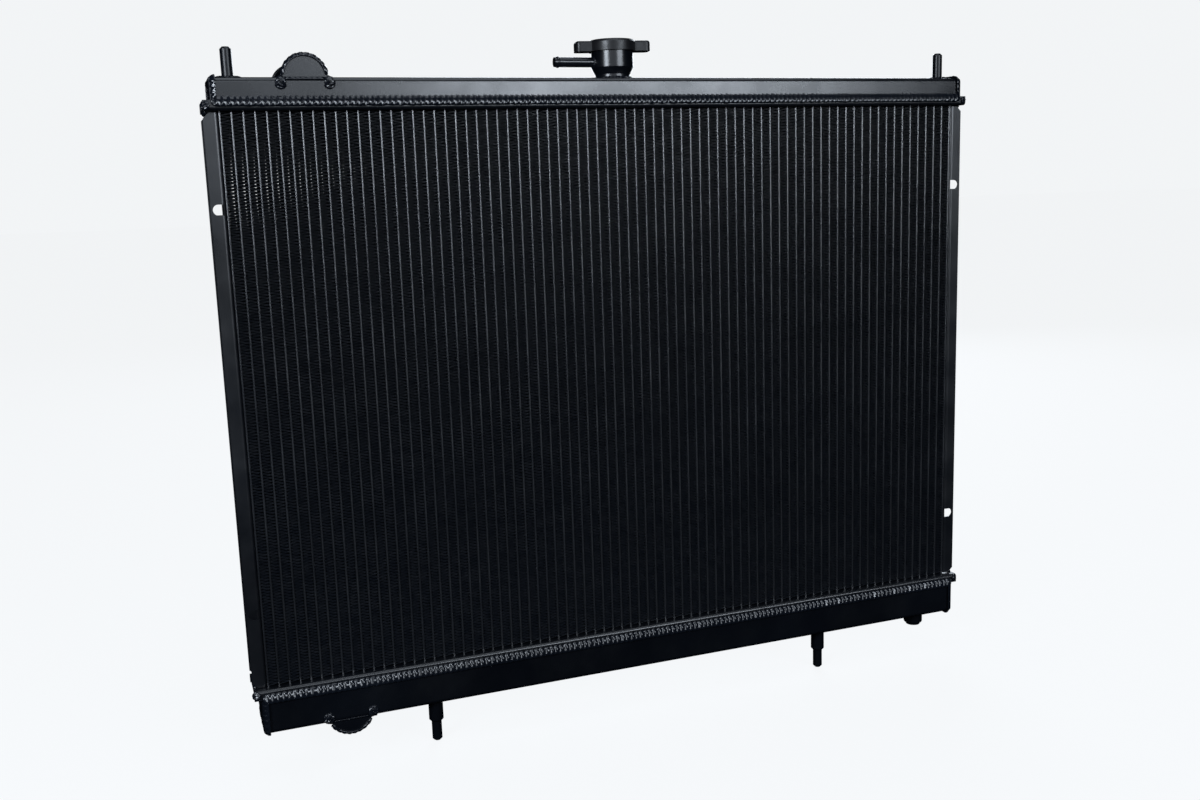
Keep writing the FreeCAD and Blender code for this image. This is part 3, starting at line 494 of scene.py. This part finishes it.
def end_cap_bead(tank, side):
    low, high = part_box(f"{tank}_tank_cap_{side}")
    sign = 1 if side == "right" else -1
    x = high.x - 2.4 * MM if side == "right" else low.x + 2.4 * MM
    bend = 4.5 * MM
    seam_z = SEAMS[tank][0]
    lean = 0.75 * sign
    if tank == "top":
        centre_z, turns = high.z - bend, ((180, 90), (90, 0))
    else:
        centre_z, turns = low.z + bend, ((180, 270), (270, 360))
    front_y, back_y = FRONT + bend, BACK - bend
    path = [(Vector((x, FRONT, seam_z)), Vector((lean, -1, 0)).normalized())]
    path += quarter(Vector((x, front_y, centre_z)), bend, *turns[0], lean)
    path += quarter(Vector((x, back_y, centre_z)), bend, *turns[1], lean)
    path += [(Vector((x, BACK, seam_z)), Vector((lean, 1, 0)).normalized())]
    weld_bead(f"{tank}_cap_weld_{side}", path, 7.6 * MM, 1.5 * MM, seed=20 + sign)


for tank in ("top", "bottom"):
    for side in ("left", "right"):
        end_cap_bead(tank, side)

# %% [markdown]
# ### Where a tank's end stands on its header, and the side plates' ends
# A short fillet weld runs across the header beside each end cap, and another joins the end of each
# side plate to the header above or below it. A round lump closes each front corner of the header.

# %% Cross beads at the four corners
CORNERS = (("top", top_header_low.z, 1), ("bottom", bottom_header_high.z, -1))
for tank, core_side_z, up in CORNERS:
    tray_low, tray_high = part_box(f"{tank}_header_plate")
    for side, sign in (("left", -1), ("right", 1)):
        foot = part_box(f"{tank}_tank_cap_{side}")[1 if sign > 0 else 0].x
        lean = Vector((sign, 0, up)).normalized()
        foot_z = core_side_z + 2 * MM * up
        ends = [(Vector((foot, y, foot_z)), lean) for y in (FRONT + 3 * MM, BACK - 3 * MM)]
        weld_bead(f"{tank}_foot_weld_{side}", ends, 5 * MM, 1.6 * MM, seed=30 + sign + up)
        edge_x, edge_z = sign * (top_header_high.x - 2.2 * MM), core_side_z - 0.6 * MM * up
        lean = Vector((sign, 0, -0.6 * up)).normalized()
        ends = [(Vector((edge_x, y, edge_z)), lean) for y in (MIDDLE - 17 * MM, MIDDLE + 17 * MM)]
        weld_bead(f"{tank}_plate_weld_{side}", ends, 4.2 * MM, 2.0 * MM, seed=40 + sign + up)
        lean = Vector((0.6 * sign, -1, 0)).normalized()
        ends = [(Vector((edge_x, FRONT + 1 * MM, z)), lean) for z in (tray_low.z + 0.5 * MM, tray_high.z)]
        weld_bead(f"{tank}_corner_weld_{side}", ends, 9 * MM, 2.4 * MM, seed=45 + sign + up)

# %% [markdown]
# ### Round seams
# Pins, neck, drain boss and hose pipes are welded all round. A ring path needs the circle's centre,
# its axis and how far the bead leans outwards.


# %% Ring paths and the small round welds
def ring_path(centre, axis, radius, lean, start=0, end=360, steps=48, first=X):
    """Points of an arc about an axis, with normals between outwards and the axis."""
    second = axis.cross(first)
    count = max(int(steps * abs(end - start) / 360), 4)
    whole = abs(end - start) >= 360
    points = []
    for i in range(count if whole else count + 1):
        angle = math.radians(start + (end - start) * i / count)
        outward = first * math.cos(angle) + second * math.sin(angle)
        points.append((centre + outward * radius, (outward * lean + axis * (1 - lean)).normalized()))
    return points


def middle_of(node):
    low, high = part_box(node)
    return (low + high) / 2


for side in ("left", "right"):
    top_pin, bottom_pin = middle_of(f"top_pin_{side}"), middle_of(f"bottom_pin_{side}")
    ring = ring_path(Vector((top_pin.x, top_pin.y, TANK_TOP)), Z, 8.6 * MM, 0.15)
    weld_bead(f"top_pin_weld_{side}", ring, 8.8 * MM, 2.0 * MM, seed=50, closed=True, ripple=3.6 * MM)
    ring = ring_path(Vector((bottom_pin.x, bottom_pin.y, TANK_UNDER)), -Z, 7.9 * MM, 0.4)
    weld_bead(f"bottom_pin_weld_{side}", ring, 2.4 * MM, 0.9 * MM, seed=52, closed=True, ripple=2.6 * MM)

neck = middle_of("filler_neck")
ring = ring_path(Vector((neck.x, neck.y, TANK_TOP)), Z, 17.8 * MM, 0.5)
weld_bead("neck_weld", ring, 5.4 * MM, 2.1 * MM, seed=54, closed=True, ripple=3.4 * MM)
boss = middle_of("drain_boss")
ring = ring_path(Vector((boss.x, boss.y, TANK_UNDER)), -Z, 11.3 * MM, 0.45)
weld_bead("drain_weld", ring, 4.4 * MM, 1.6 * MM, seed=55, closed=True, ripple=3.2 * MM)
spigot = middle_of("overflow_nipple")
ring = ring_path(Vector((neck.x - 20.4 * MM, spigot.y, spigot.z)), -X, 5.1 * MM, 0.45, first=Y)
weld_bead("overflow_weld", ring, 2.4 * MM, 0.9 * MM, seed=56, closed=True, ripple=2.2 * MM)

# %% [markdown]
# ### Hose pipes
# Each pipe lies across its tank and stands out above or below it. The flat plate that closes its
# front gets an arched bead and a thin straight one along its foot, and the two saddle beads along the
# pipe end in a round lump on the tank's face. Behind the tank the bead goes on round the pipe.


# %% Hose pipe beads
def saddle_bead(name, x, face_z, up, side_x, seed):
    """From a lump on the tank's face, over the bent edge and back along the pipe."""
    out = Vector((side_x, 0, 0.6 * up)).normalized()
    path = [(Vector((x, FRONT - 0.2 * MM, face_z - 8.2 * MM * up)), -Y),
            (Vector((x, FRONT - 0.4 * MM, face_z - 3.6 * MM * up)), -Y),
            (Vector((x, FRONT + 1.2 * MM, face_z - 0.6 * MM * up)), Vector((0, -1, up)).normalized()),
            (Vector((x, FRONT + 5 * MM, face_z)), (out + Z * up).normalized()),
            (Vector((x, BACK - 1 * MM, face_z)), (out + Z * up).normalized())]
    weld_bead(name, path, 8.6 * MM, 2.1 * MM, seed=seed)
    lump = [(Vector((x + side_x * 2.5 * MM, FRONT, face_z - 10.5 * MM * up)), -Y),
            (Vector((x + side_x * 0.5 * MM, FRONT - 0.3 * MM, face_z - 5.5 * MM * up)), -Y),
            (Vector((x - side_x * 2.5 * MM, FRONT, face_z - 2.5 * MM * up)), -Y)]
    weld_bead(f"{name}_lump", lump, 11 * MM, 3.2 * MM, seed=seed + 5)


def hose_pipe_beads(name, face_z, up):
    plate_low, plate_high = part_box(f"{name}_end_plate")
    pipe_x = (plate_low.x + plate_high.x) / 2
    radius = {"inlet": 19 * MM, "outlet": 21 * MM}[name]
    axis_z = plate_high.z - radius if up > 0 else plate_low.z + radius
    rise = abs(face_z - axis_z) / radius
    start = math.degrees(math.asin(rise)) if name == "outlet" else 0
    arc = (start + 4, 176 - start) if up > 0 else (-start - 4, -176 + start)
    arch = ring_path(Vector((pipe_x, FRONT + 0.6 * MM, axis_z)), -Y, radius + 0.2 * MM, 0.62, *arc)
    weld_bead(f"{name}_plate_weld", arch, 5.4 * MM, 2.0 * MM, seed=60 + up)
    half_chord = math.sqrt(radius ** 2 - (face_z - axis_z) ** 2)
    foot = [(Vector((pipe_x + end * (half_chord - 2 * MM), FRONT + 0.9 * MM, face_z - 0.6 * MM * up)),
             Vector((0, -1, up)).normalized()) for end in (-1, 1)]
    weld_bead(f"{name}_plate_foot_weld", foot, 4.4 * MM, 1.0 * MM, seed=68 + up)
    for side, sign in (("left", -1), ("right", 1)):
        saddle_bead(f"{name}_saddle_weld_{side}", pipe_x + sign * (half_chord + 1.5 * MM), face_z, up, sign,
                    seed=62 + sign)
    arc = (180 + start, 360 - start) if up > 0 else (-start, 180 + start)
    back = ring_path(Vector((pipe_x, BACK, axis_z)), Y, radius + 0.8 * MM, 0.5, *arc, first=-X)
    weld_bead(f"{name}_back_weld", back, 5 * MM, 1.8 * MM, seed=66)


hose_pipe_beads("inlet", TANK_TOP, 1)
hose_pipe_beads("outlet", TANK_UNDER, -1)

# %% [markdown]
# ## Floor
# A plain pale floor under the pins, wide enough to reach every background. A black object needs a
# bright surround without bright reflections, so the floor glows softly by itself, like a lit table,
# but is left out of the paint's reflections and lights nothing around it.

# %% Make the floor
floor_material, _, floor_shader = new_material("pale_floor", (0.05, 0.051, 0.053), 0.9, specular=0.1)
floor_shader.inputs["Emission Color"].default_value = (0.882, 0.899, 0.913, 1)
floor_shader.inputs["Emission Strength"].default_value = 1.0
floor_bm = bmesh.new()
bmesh.ops.create_grid(floor_bm, x_segments=1, y_segments=1, size=30)
bmesh.ops.translate(floor_bm, verts=floor_bm.verts, vec=(0, 0, CAD_BOUNDS[0][2] - 0.2 * MM))
floor_mesh = bpy.data.meshes.new("floor")
floor_bm.to_mesh(floor_mesh)
floor_bm.free()
floor_mesh.materials.append(floor_material)
floor = bpy.data.objects.new("floor", floor_mesh)
bpy.context.scene.collection.objects.link(floor)
floor.visible_glossy = False
floor.visible_diffuse = False

# %% [markdown]
# ## Light
# Gloss on black paint is nothing but a picture of the lamps, so each highlight has a lamp of its own.
# A bright soft box to the right of the front is what the upright face of the top tank mirrors. A wide,
# dim one straight ahead gives the side plates their grey, and a small one near the left end brightens
# that end. Two more serve the top and the back. The room is left out of the reflections, or its white
# would wash over every edge.


# %% World and soft boxes
def soft_box(name, place, aim, size, watts, color=(0.82, 0.90, 1.0)):
    light = bpy.data.lights.new(name, "AREA")
    light.shape = "RECTANGLE"
    light.size, light.size_y = size
    light.energy = watts
    light.color = color
    lamp = bpy.data.objects.new(name, light)
    lamp.location = place
    lamp.rotation_euler = (Vector(aim) - Vector(place)).to_track_quat("-Z", "Y").to_euler()
    bpy.context.scene.collection.objects.link(lamp)
    return lamp


world = bpy.data.worlds.new("pale_room")
bpy.context.scene.world = world
world.use_nodes = True
world.node_tree.nodes["Background"].inputs["Color"].default_value = (0.89, 0.908, 0.922, 1)
world.cycles_visibility.glossy = False
world.cycles_visibility.diffuse = False

soft_box("front_right_soft_box", (1.02, -2.45, 1.08), (0.0, 0, 0.45), (1.35, 0.7), 37)
soft_box("front_wide_soft_box", (-0.7, -3.0, 1.6), (0.0, 0, 0.5), (3.0, 1.7), 26)
soft_box("near_left_soft_box", (-1.35, -1.0, 0.84), (-0.3, 0, 0.55), (0.6, 0.5), 22)
soft_box("back_soft_box", (1.3, 2.6, 1.3), (0, 0, 0.4), (1.8, 1.4), 50)
soft_box("top_soft_box", (0.2, -0.4, 2.8), (0, 0, 0.3), (2.2, 2.2), 26)
bpy.context.scene.view_settings.view_transform = "Standard"

# %% [markdown]
# ## Camera
# The camera stands in front of the radiator's left end, a little below its top, and looks to the
# right and slightly down. Its lens is close to a normal one, and it leans by two degrees.

# %% Place the camera
CAMERA_PLACE = Vector((-0.4484, -1.1197, 0.5191))
YAW, PITCH, LEAN = -20.36, -9.94, -1.91
camera_data = bpy.data.cameras.new("camera")
camera_data.sensor_width = 36
camera_data.lens = 35.76
camera = bpy.data.objects.new("camera", camera_data)
camera.matrix_world = (Matrix.Translation(CAMERA_PLACE)
                       @ Matrix.Rotation(math.radians(YAW), 4, "Z")
                       @ Matrix.Rotation(math.radians(90 + PITCH), 4, "X")
                       @ Matrix.Rotation(math.radians(LEAN), 4, "Z"))
bpy.context.scene.collection.objects.link(camera)
bpy.context.scene.camera = camera
